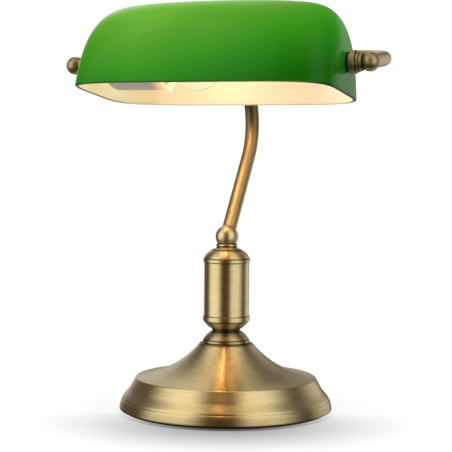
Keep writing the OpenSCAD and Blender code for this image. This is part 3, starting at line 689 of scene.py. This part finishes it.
def make_column():
    band = SEAT_Z + 2.7
    column_piece("foot_flange", rounded([
        (ROD_R, SEAT_Z), (BAND_R, SEAT_Z, 0.8), (BAND_R, band, 0.9), (19.1, band, 0.15),
        (19.1, band + 0.5, 0.15)] + bulge((19.4, band + 0.5), (WAIST_R, WAIST_Z0), 16.3)
        + [(ROD_R, WAIST_Z0)]), 160)
    column_piece("waist_ring", rounded([
        (ROD_R, WAIST_Z0), (10.9, WAIST_Z0), (10.9, WAIST_Z0 + 0.3, 0.1),
        (12, WAIST_Z0 + 0.35, 0.5), (12, WAIST_Z1 - 0.35, 0.5), (10.9, WAIST_Z1 - 0.3, 0.1),
        (10.9, WAIST_Z1), (ROD_R, WAIST_Z1)]), 128)

    band, spigot, inside = TUBE_Z0 - 4.4, 4, TUBE_R - 1.05
    column_piece("column_cup", rounded(
        [(ROD_R, WAIST_Z1)] + bulge((WAIST_R, WAIST_Z1), (19, band - 0.5), 18.1)
        + [(18.9, band - 0.5, 0.1), (18.9, band, 0.1), (BAND_R, band, 0.8),
           (BAND_R, TUBE_Z0, 0.8), (inside, TUBE_Z0), (inside, TUBE_Z0 + spigot, 0.3),
           (inside - 1, TUBE_Z0 + spigot), (inside - 1, band + 1), (10, WAIST_Z1 + 3),
           (ROD_R, WAIST_Z1 + 3)]), 160)
    column_piece("column_tube", rounded([
        (TUBE_R - 1, TUBE_Z0), (TUBE_R, TUBE_Z0, 0.15), (TUBE_R, TUBE_Z1, 0.15),
        (TUBE_R - 1, TUBE_Z1)]), 192, "_brushed")

    band = TUBE_Z1 + 3.2
    column_piece("column_cap", rounded(
        [(ROD_R, CAP_Z - 4), (10, CAP_Z - 4), (inside - 1, TUBE_Z1 + 1),
         (inside - 1, TUBE_Z1 - spigot), (inside, TUBE_Z1 - spigot, 0.3), (inside, TUBE_Z1),
         (BAND_R, TUBE_Z1, 0.8), (BAND_R, band, 0.8), (19.25, band, 0.1)]
        + bulge((19.6, band + 0.1), (12.9, CAP_Z), 13) + [(ROD_R, CAP_Z)]), 160)


def make_neck():
    column_piece("neck_flare", rounded(
        [(ROD_R, CAP_Z), (12.1, CAP_Z, 0.4), (12.1, CAP_Z + 0.9, 0.5)]
        + curve((11.3, CAP_Z + 1.1), (10.0, CAP_Z + 1.2), (9.2, CAP_Z + 1.6),
                (9.1, CAP_Z + 2.3), 8)
        + [(8.6, CAP_Z + 2.4, 0.1), (8.6, FLARE_Z), (ROD_R, FLARE_Z)]), 128)

    top, bore = high("neck_bead").z, 4.95
    column_piece("neck_bead", [(bore, FLARE_Z), (8.4, FLARE_Z)]
                 + arc((8, (FLARE_Z + BALL_SEAT) / 2), 1.2, -80, 80, 12)
                 + [(8, top), (bore, top)], 128)


# ---- stem

STEM_LEAN = 37.0       # degrees that the lower run leans back
STEM_RETURN = 20.0     # and the short middle run forwards
STEM_BEND_R = 47.0
MID_RUN = 5.0


def stem_path():
    """Stations of the stem's crank, from its ball to the coupling behind the shade."""
    lean, back = math.radians(STEM_LEAN), math.radians(STEM_RETURN)
    forward = 2 * STEM_BEND_R * (1 - math.cos(back)) + MID_RUN * math.sin(back)
    run = (REAR.y - STEM_BEND_R * (1 - math.cos(lean)) + forward) / math.sin(lean)
    up = Vector((0, math.sin(lean), math.cos(lean)))
    front = Vector((0, -math.cos(lean), math.sin(lean)))
    path = straight(Vector((0, 0, BALL_Z)) + up * PIPE_IN, up, run - PIPE_IN)
    path += bend(path[-1][0], up, front, STEM_BEND_R, STEM_LEAN + STEM_RETURN, 30)
    way = Vector((0, -math.sin(back), math.cos(back)))
    path += straight(path[-1][0], way, MID_RUN)[1:]
    path += bend(path[-1][0], way, Vector((0, math.cos(back), math.sin(back))),
                 STEM_BEND_R, STEM_RETURN, 14)
    rise = REAR.z - COUPLING_IN - path[-1][0].z
    return path + straight(path[-1][0], Vector((0, 0, 1)), rise)[1:]


def ball_outline(radius, flat=None):
    """A ball about the origin, cut flat below the height flat if that is given."""
    start = -90 if flat is None else math.degrees(math.asin(flat / radius)) + 1.5
    points = arc((0, 0), radius, start, 90, 40)
    points[-1] = (0, radius)
    if flat is None:
        points[0] = (0, -radius)
        return points
    edge = math.sqrt(radius ** 2 - flat ** 2)
    return rounded([(0, flat), (edge, flat, 0.3)] + points)


def grub_screw(name, at, way, radius, length, socket):
    """A set screw whose outer end is at the point at, with a hexagon socket in it."""
    def shape(r, z, a):
        if r > socket:
            return r
        return r * 0.9 / math.cos((a + TURN / 12) % (TURN / 6) - TURN / 12)

    deep, edge = -0.55 * length, 0.2
    return turned(name, [
        (0, -length), (radius - edge, -length), (radius, -length + edge), (radius, -edge),
        (radius - edge, 0), (socket + 0.01, 0), (socket, -0.02), (socket, deep),
        (0, deep - 0.1)], pointing(at, way), 48, shape)


def make_stem():
    ball = turned("stem_ball_turned", ball_outline(BALL_R, BALL_SEAT - BALL_Z),
                  Matrix.Translation((0, 0, BALL_Z)), 112)
    screw_lo, screw_hi = low("swivel_screw"), high("swivel_screw")
    screw_z, screw_r = (screw_lo.z + screw_hi.z) / 2, screw_hi.x
    drill(ball, Vector((0, screw_lo.y, screw_z)), BACK, screw_r + 0.05)
    finished(ball, "stem", "brass", ["stem_ball"], BALL)
    screw = grub_screw("swivel_grub_screw", Vector((0, screw_hi.y, screw_z)), BACK, screw_r,
                       screw_hi.y - screw_lo.y, 0.75)
    finished(screw, "stem", "steel", ["swivel_screw"], STEEL)

    pipe = swept("stem_crank", stem_path(), Vector((1, 0, 0)))
    finished(pipe, "stem", "brass", ["stem_tube"], PIPE)

    coupling = turned("coupling_ball", ball_outline(COUPLING_R), Matrix.Translation(REAR), 112)
    grub_y, grub_at, grub_r = high("set_screws").y, 8.1, 1.0
    for name, x, z in (("below", 0, -1), ("left", -1, 0), ("right", 1, 0)):
        at = REAR + Vector((x, 0, z)) * grub_at
        drill(coupling, at + BACK * PIPE_R, BACK, grub_r + 0.05)
        grub = grub_screw("coupling_grub_screw_" + name, Vector((at.x, grub_y, at.z)), BACK,
                          grub_r, 1.4, 0.5)
        finished(grub, "stem", "steel", ["set_screws"], STEEL)
    finished(coupling, "stem", "brass", ["top_coupling"], BALL)


# ---- yoke

YOKE_BEND_R = 42.0


def make_yoke(side, name):
    """One arm of the yoke, and what clamps the shade on it, from ball to inner washer."""
    back = REAR - AXIS
    back.x = 0
    depth = back.length
    back.normalize()
    inwards = Vector((-side, 0, 0))
    start = Vector((side * END_BALL_X, AXIS.y, AXIS.z)) + back * PIPE_IN
    path = straight(start, back, depth - YOKE_BEND_R - PIPE_IN)
    path += bend(path[-1][0], back, inwards, YOKE_BEND_R, 90, 40)
    path += straight(path[-1][0], inwards, END_BALL_X - YOKE_BEND_R - COUPLING_IN)[1:]
    arm = swept("yoke_pipe_" + name, path, back.cross(inwards))
    finished(arm, "stem", "brass", ["yoke_arm_" + name], PIPE)

    flat = NUT_X1 + 0.2 - END_BALL_X
    ball = turned("end_ball_turned_" + name, ball_outline(END_BALL_R, flat),
                  along_axis(side, END_BALL_X), 96)
    finished(ball, "stem", "brass", ["end_ball_" + name], END_BALL)

    cup = turned("collar_cup_turned_" + name, rounded([
        (NIPPLE_R, CUP_X0), (9.6, CUP_X0, 0.9), (9.7, CUP_X1 - 1.3, 0.4), (9.3, CUP_X1, 0.7),
        (NIPPLE_R, CUP_X1)]), along_axis(side), 96)
    finished(cup, "stem", "brass", ["collar_cup_" + name], ENDS)

    x0 = CUP_X1 + 0.1
    nut = turned("clamp_nut_turned_" + name, rounded([
        (NIPPLE_R, x0), (8.4, x0, 0.9), (8.4, x0 + 2.4, 0.9), (6.9, x0 + 2.4, 0.1),
        (6.9, x0 + 2.7, 0.1), (7.5, x0 + 2.7, 0.8), (7.5, NUT_X1 - 0.4, 0.8),
        (6.4, NUT_X1 - 0.4, 0.1), (6.4, NUT_X1), (NIPPLE_R, NUT_X1)]), along_axis(side), 96)
    finished(nut, name + "_clamp", "brass", ["clamp_nut_" + name], ENDS)

    bush_r, sleeve_r, bore, glass_x = 8.5, 6.45, NIPPLE_R + 0.03, BUSH_X1 - 2.2
    sleeve_x = glass_x - 3.2
    bush = turned("pivot_bush_moulded_" + name, rounded([
        (bore, sleeve_x), (sleeve_r, sleeve_x, 0.2), (sleeve_r, glass_x),
        (bush_r, glass_x + 0.05, 0.4), (bush_r, BUSH_X1, 0.5), (bore, BUSH_X1)]),
        along_axis(side), 96)
    finished(bush, "shade", "rubber", ["pivot_bush_" + name], RUBBER)
    dress(STEEL, "nipple_" + name, "lock_nut_" + name)
    dress(RUBBER, "inner_washer_" + name)


# ---- shade

CROWN_A = 74.35                        # how much shorter half the crown is than the rim
END_RISE, END_TURN = 3.87, 5           # powers of the shade's profile towards its ends
SIDE_RISE, SIDE_TURN = 1.774, 3.17     # and towards its front and back
RIM_POWER, CROWN_POWER = 5.25, 2       # powers of its plan, boxy at the rim, round above
HOLE_R = 6.5


def plan_loop(s, skin_depth, z, around=48):
    """One closed loop of the shade at the part s of its height, evenly spaced along each
    quarter, for a surface that lies skin_depth inside the outer one."""
    a = SHADE_A - skin_depth - CROWN_A * (1 - (1 - s ** END_RISE) ** (1 / END_TURN))
    b = (SHADE_B - skin_depth) * (1 - s ** SIDE_RISE) ** (1 / SIDE_TURN)
    power = 2 / (RIM_POWER + (CROWN_POWER - RIM_POWER) * s)
    fine = 400
    quarter = []
    for i in range(fine + 1):
        q = TURN / 4 * i / fine
        quarter.append(Vector((a * math.cos(q) ** power if i < fine else 0,
                               b * math.sin(q) ** power)))
    along = [0.0]
    for p, q in zip(quarter, quarter[1:]):
        along.append(along[-1] + (q - p).length)
    even, k = [], 0
    for i in range(around):
        want = along[-1] * i / around
        while along[k + 1] < want:
            k += 1
        part = (want - along[k]) / max(along[k + 1] - along[k], 1e-9)
        even.append(quarter[k].lerp(quarter[k + 1], part))
    even.append(quarter[-1])
    back = [(p.x, p.y) for p in even]
    back += [(-x, y) for x, y in back[-2::-1]]
    front = [(x, -y) for x, y in back[-2:0:-1]]
    return [(x, y, z) for x, y in back + front]


def dome_heights(skin_depth, start, count=44):
    """Heights of the dome's loops, closer together where the surface turns level."""
    top = SHADE_H - skin_depth
    return [start + (top - start) * (1 - (1 - i / count) ** 2.6) for i in range(count)]


def make_shade():
    """The cased glass: crown, green outside, rim, white inside, and a hole at each end."""
    rim = 1.3
    outer = [plan_loop(z / SHADE_H, 0, z) for z in dome_heights(0, rim)[::-1]]
    edge = []
    for i in range(1, 10):
        a = math.pi * i / 10
        edge.append(plan_loop(0, GLASS_T / 2 * (1 - math.cos(a)), rim * (1 - math.sin(a))))
    inner = [plan_loop(z / (SHADE_H - GLASS_T), GLASS_T, z)
             for z in dome_heights(GLASS_T, rim)]
    top = SHADE_H - 0.01
    crown, under = [(0, 0, top)], [(0, 0, top - GLASS_T)]
    place = (Matrix.Translation(AXIS) @ Matrix.Rotation(math.radians(-SHADE_TILT), 4, "X")
             @ Matrix.Translation((0, 0, -SHADE_AXIS_H)))
    shade = skin("shade_cased_glass", [crown] + outer + edge + inner + [under], place=place)
    around = len(outer[0])
    last_green = around * len(outer)
    last_rim = last_green + around * (len(edge) - 1)
    for face in shade.data.polygons:
        face.material_index = (face.index >= last_green) + (face.index >= last_rim)
    for material in (GREEN, RIM, OPAL):
        shade.data.materials.append(material)
    for side in (-1, 1):
        out = Vector((side, 0, 0))
        drill(shade, AXIS + out * (SHADE_A - THROUGH), out, HOLE_R, 2 * THROUGH, 64)
    finished(shade, "shade", "cased_glass", ["shade_glass"])


# ---- lamp holder

def make_holder():
    neck, neck_r, wall = -low("holder_cap").x, 8.4, 1.7
    bell = neck - 3.5
    cap = turned("holder_cap_moulded", rounded(
        [(NIPPLE_R, neck, 0.3), (neck_r, neck, 0.4), (neck_r, bell, 0.5)]
        + curve((9.2, bell - 0.6), (15, bell - 1), (HOLDER_R, bell - 5), (HOLDER_R, SKIRT_X), 20)
        + [(HOLDER_R - wall, SKIRT_X)]
        + curve((HOLDER_R - wall, SKIRT_X + 1), (HOLDER_R - wall, SKIRT_X + 7),
                (13.5, bell - 3.4), (neck_r, bell - 2.8), 12)
        + [(neck_r, bell - 7), (NIPPLE_R, bell - 7)]), along_axis(-1), 128)
    finished(cap, "stem", "grey_plastic", ["holder_cap"], HOLDER)

    mouth_r = 17
    skirt = turned("holder_skirt_moulded", rounded([
        (HOLDER_R - wall, SKIRT_X - 0.02), (HOLDER_R, SKIRT_X - 0.02, 0.25),
        (HOLDER_R, MOUTH_X, 0.8), (mouth_r, MOUTH_X, 0.5), (mouth_r, MOUTH_X + wall, 0.3),
        (HOLDER_R - wall, MOUTH_X + wall)]), along_axis(-1), 128)
    finished(skirt, "stem", "grey_plastic", ["holder_skirt"], HOLDER)

    shell_x0, shell_x1, depth = -high("screw_shell").x, -low("screw_shell").x, 0.14

    def thread(r, z, a):
        return r + depth * math.cos(TURN * z / THREAD_PITCH - a)

    rows = [shell_x0 + (shell_x1 - shell_x0) * i / 72 for i in range(73)]
    shell = turned("screw_shell_rolled", [(13.67, z) for z in rows]
                   + [(13.53, z) for z in rows[::-1]], along_axis(-1), 96, thread)
    finished(shell, "stem", "contact_brass", ["screw_shell"], CONTACT)
    dress(CERAMIC, "holder_insert")
    dress(CONTACT, "centre_contact")


# ---- bulb

NECK_R = 12.4
BULB_WALL = 0.6
NECK_TURN = 38         # degrees past the globe's equator where its neck begins


def bulb_outline(depth, mouth):
    """The bulb's glass from its cap to the globe's tip, at a depth inside its surface."""
    r, turn = GLOBE_R - depth, math.radians(NECK_TURN)
    joined = (r * math.cos(turn), GLOBE_X + r * math.sin(turn))
    rim = mouth - 3
    neck = [(NECK_R - depth, mouth)] + curve(
        (NECK_R - depth, rim - 0.1), (NECK_R + 0.4 - depth, rim - 6.5),
        (joined[0] - 4, joined[1] + 3.2), joined, 20)
    globe = arc((0, GLOBE_X), r, NECK_TURN, -90, 56)[1:]
    globe[-1] = (0, GLOBE_X - r)
    return neck + globe


def coil_points(arch_r, wire_turns, turn_r):
    """Centre line of a filament: a fine coil bent round a half circle."""
    made, per_turn = [], 10
    count = wire_turns * per_turn
    for i in range(count + 1):
        along, spin = math.pi * i / count, TURN * i / per_turn
        out = arch_r + turn_r * math.cos(spin)
        made.append(Vector((out * math.cos(along), turn_r * math.sin(spin),
                            out * math.sin(along))))
    return made


def wire(name, points, radius, sides, place):
    """A round wire through points in mm."""
    rings = []
    normal = Vector((0, 0, 1))
    for i, point in enumerate(points):
        way = (points[min(i + 1, len(points) - 1)] - points[max(i - 1, 0)]).normalized()
        side = way.cross(normal)
        side = side.normalized() if side.length > 1e-6 else Vector((1, 0, 0))
        normal = side.cross(way).normalized()
        rings.append([point + radius * (math.cos(a) * side + math.sin(a) * normal)
                      for a in (TURN * j / sides for j in range(sides))])
    return skin(name, [[points[0]]] + rings + [[points[-1]]], place=place)


def make_bulb():
    mouth, foot = -high("bulb_cap").x, -low("bulb_cap").x
    start = -low("bulb_glass").x
    glass = turned("bulb_globe", bulb_outline(0, start)
                   + [(0, GLOBE_X - GLOBE_R + BULB_WALL)]
                   + bulb_outline(BULB_WALL, start)[-2::-1], along_axis(-1), 128)
    finished(glass, "bulb", "clear_glass", ["bulb_glass"], CLEAR)
    glass.visible_shadow = False

    rows, depth, z0, z1 = 90, 0.22, mouth + 2, foot - 1.5

    def thread(r, z, a):
        if not z0 < z < z1 or r < NECK_R + 0.1:
            return r
        return r + depth * math.cos(TURN * z / THREAD_PITCH - a)

    side = [(12.85, z0 + (z1 - z0) * i / rows) for i in range(rows + 1)]
    cap = turned("bulb_cap_rolled", [(NECK_R + 0.05, foot - 1), (NECK_R + 0.05, mouth),
                                     (13.1, mouth), (13.1, mouth + 1.6)] + side
                 + [(12.3, foot), (11.4, foot), (11.4, foot - 1)], along_axis(-1), 96, thread)
    finished(cap, "bulb", "nickel", ["bulb_cap"], NICKEL)
    dress(VITRITE, "bulb_insulator")
    dress(NICKEL, "bulb_contact")

    inner = NECK_R - 1.1
    post = turned("filament_post", rounded([
        (0, GLOBE_X + 11.5), (2.0, GLOBE_X + 11.5, 0.9), (1.6, GLOBE_X + 13.5, 0.4),
        (2.2, GLOBE_X + 16, 1.0), (3.4, mouth - 3.5, 1.0), (9, start - 0.5, 2.0),
        (inner, start - 0.3), (inner, start + 0.5), (0, start + 0.5)]), along_axis(-1), 48)
    finished(post, "bulb", "clear_glass", ["filament_mount"], CLEAR)
    post.visible_shadow = False

    arch_r, wire_turns, turn_r, wire_r = 8.5, 64, 0.34, 0.09
    coil = wire("filament_coil", coil_points(arch_r, wire_turns, turn_r), wire_r, 6,
                Matrix.Translation((-GLOBE_X - 1.5, AXIS.y, AXIS.z))
                @ Matrix.Rotation(TURN / 4, 4, "Z") @ Matrix.Rotation(-TURN / 4, 4, "X"))
    finished(coil, "bulb", "tungsten", ["filament"], FILAMENT)
    coil.visible_shadow = False


# ---- studio

CAMERA_TURN = math.radians(20.89)
CAMERA_FAR = 1225.0
CAMERA_Z = 225.5
CAMERA_PITCH = math.radians(3.165)
CAMERA_PAN = math.radians(0.043)
CAMERA_ROLL = math.radians(0.5)
CAMERA_LENS = 114.59
# Turn of the side that the floor's painted shadow falls to.
SHADOW_TURN = math.radians(20.89)

# Lights of the room: centre, half width and soft edge in degrees. Turns count from the
# lamp's front (-Y) towards +X, and rises from the horizon.
LEFT_BOX = (-45.0, 30.0, 34.0)
BOXES_RISE = (22.0, 45.0, 24.0)
BACK_RIGHT = (156.0, 20.0, 30.0)
BACK_LEFT = (211.0, 14.0, 28.0)


def make_camera():
    data = bpy.data.cameras.new("camera")
    data.lens, data.sensor_width = CAMERA_LENS, 36.0
    data.clip_start, data.clip_end = 0.05, 50.0
    camera = in_scene("camera", data)
    camera.matrix_world = (
        Matrix.Translation(Vector((CAMERA_FAR * math.sin(CAMERA_TURN),
                                   -CAMERA_FAR * math.cos(CAMERA_TURN), CAMERA_Z)) * MM)
        @ Matrix.Rotation(CAMERA_TURN + CAMERA_PAN, 4, "Z")
        @ Matrix.Rotation(TURN / 4 - CAMERA_PITCH, 4, "X")
        @ Matrix.Rotation(CAMERA_ROLL, 4, "Z"))
    scene = bpy.context.scene
    scene.camera = camera
    scene.view_settings.view_transform = "Standard"
    scene.view_settings.look = "None"


def make_floor():
    """A large pale floor with a painted soft shadow of the lamp, which falls forwards. It only
    meets the camera's rays, so that its white doesn't wash out what the brass reflects."""
    size, below = 6.0, -0.2 * MM
    mesh = bpy.data.meshes.new("floor")
    mesh.from_pydata([(-size, -size, below), (size, -size, below), (size, size, below),
                      (-size, size, below)], [], [(0, 1, 2, 3)])
    floor = in_scene("floor", mesh)
    made, tree, shader, place = new_material("floor")
    far = add(tree, "VectorMath", {0: place}, operation="LENGTH").outputs["Value"]
    front = Vector((math.sin(SHADOW_TURN), -math.cos(SHADOW_TURN), 0.0))
    ahead = add(tree, "VectorMath", {0: place, 1: front}, operation="DOT_PRODUCT")
    facing = calc(tree, "DIVIDE", ahead.outputs["Value"], far)
    clear = calc(tree, "SUBTRACT", far, BASE_R * MM)
    # Painted shadow: a wide soft one round the base and a dark contact line at its edge, both
    # strongest on the side the shadow falls to.
    dim = stepped(tree, clear, -0.020, 0.108, 0.68, 0.0)
    touch = stepped(tree, clear, 0.0, 0.006, 0.30, 0.0)
    shadow = calc(tree, "MULTIPLY", calc(tree, "ADD", dim, touch),
                  ramped(tree, facing, 0.1, 1.0, 0.12, 1.0))
    paper, darkest = 1.04, 0.05
    soft = calc(tree, "MAXIMUM", calc(tree, "SUBTRACT", paper, shadow), darkest)
    fill(tree, shader, {"Base Color": (0.0, 0.0, 0.0), "Roughness": 1.0,
                        "Specular IOR Level": 0.0, "Emission Color": soft,
                        "Emission Strength": 1.0})
    mesh.materials.append(made)
    floor.visible_glossy = floor.visible_diffuse = floor.visible_transmission = False


def soft_window(tree, value, centre, half, edge):
    """1 within half of centre, fading to 0 over edge."""
    away = calc(tree, "ABSOLUTE", calc(tree, "SUBTRACT", value, centre))
    return stepped(tree, away, half - edge / 2, half + edge / 2, 1.0, 0.0)


def make_world():
    """White to the camera. To the lamp it is a dim warm room with a tall softbox to the
    left and to the right of its front, two more lights behind it, and a warm ceiling."""
    world = bpy.data.worlds.new("studio")
    bpy.context.scene.world = world
    world.use_nodes = True
    tree = world.node_tree
    tree.nodes.clear()
    way = add(tree, "TexCoord").outputs["Generated"]
    x, y, z = add(tree, "SeparateXYZ", {0: way}).outputs
    turn = calc(tree, "DEGREES", calc(tree, "ARCTAN2", x, calc(tree, "MULTIPLY", y, -1.0)))
    rise = calc(tree, "DEGREES", calc(tree, "ARCSINE", z))
    left = calc(tree, "MULTIPLY", soft_window(tree, turn, *LEFT_BOX), 1.3)
    right = calc(tree, "MULTIPLY", stepped(tree, turn, 27.0, 55.0, 0.0, 1.12),
                 stepped(tree, turn, 76.0, 118.0, 1.0, 0.0))
    tall = calc(tree, "MULTIPLY", calc(tree, "ADD", left, right),
                soft_window(tree, rise, *BOXES_RISE))
    below_zero = calc(tree, "LESS_THAN", turn, 0.0)
    back = calc(tree, "MULTIPLY_ADD", below_zero, 360.0, turn)
    right_back = calc(tree, "MULTIPLY", soft_window(tree, back, *BACK_RIGHT),
                      stepped(tree, rise, 0.0, 35.0, 0.64, 0.14))
    left_back = calc(tree, "MULTIPLY", soft_window(tree, back, *BACK_LEFT),
                     stepped(tree, rise, 0.0, 35.0, 0.42, 0.80))
    behind = calc(tree, "MAXIMUM", left_back, right_back)
    above = stepped(tree, rise, 42.0, 78.0, 0.0, 0.48)
    white = calc(tree, "ADD", tall, calc(tree, "MAXIMUM", behind, above))
    aside = calc(tree, "ABSOLUTE", calc(tree, "SUBTRACT", turn, 21.0))
    dark = blended(tree, stepped(tree, aside, 15.0, 95.0), (0.088, 0.052, 0.020),
                   (0.13, 0.106, 0.092))
    room = add(tree, "Background", {"Color": dark, "Strength": 1.0})
    warm = blended(tree, stepped(tree, rise, 38.0, 72.0), (1.0, 0.99, 0.97),
                   (1.0, 0.86, 0.58))
    boxes = add(tree, "Background", {"Color": warm, "Strength": white})
    lit = add(tree, "AddShader", {0: room.outputs[0], 1: boxes.outputs[0]})
    paper = add(tree, "Background", {"Color": (1.0, 1.0, 1.0), "Strength": 1.1})
    seen = add(tree, "LightPath").outputs["Is Camera Ray"]
    both = add(tree, "MixShader", {0: seen, 1: lit.outputs[0], 2: paper.outputs[0]})
    add(tree, "OutputWorld", {"Surface": both.outputs[0]})


def make_bulb_light():
    """The filament's light, from between the globe's middle and its tip."""
    data = bpy.data.lights.new("bulb_light", "POINT")
    data.energy, data.color = 0.155, (1.0, 0.37, 0.12)
    data.shadow_soft_size = 0.005
    data.cycles.max_bounces = 2
    light = in_scene("bulb_light", data)
    light.location = Vector((-GLOBE_X + 8.5, AXIS.y, AXIS.z)) * MM
    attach(light, "bulb")


make_camera()
make_world()
make_floor()
make_bulb_light()
make_base()
make_column()
make_neck()
make_stem()
make_yoke(-1, "left")
make_yoke(1, "right")
make_shade()
make_holder()
make_bulb()
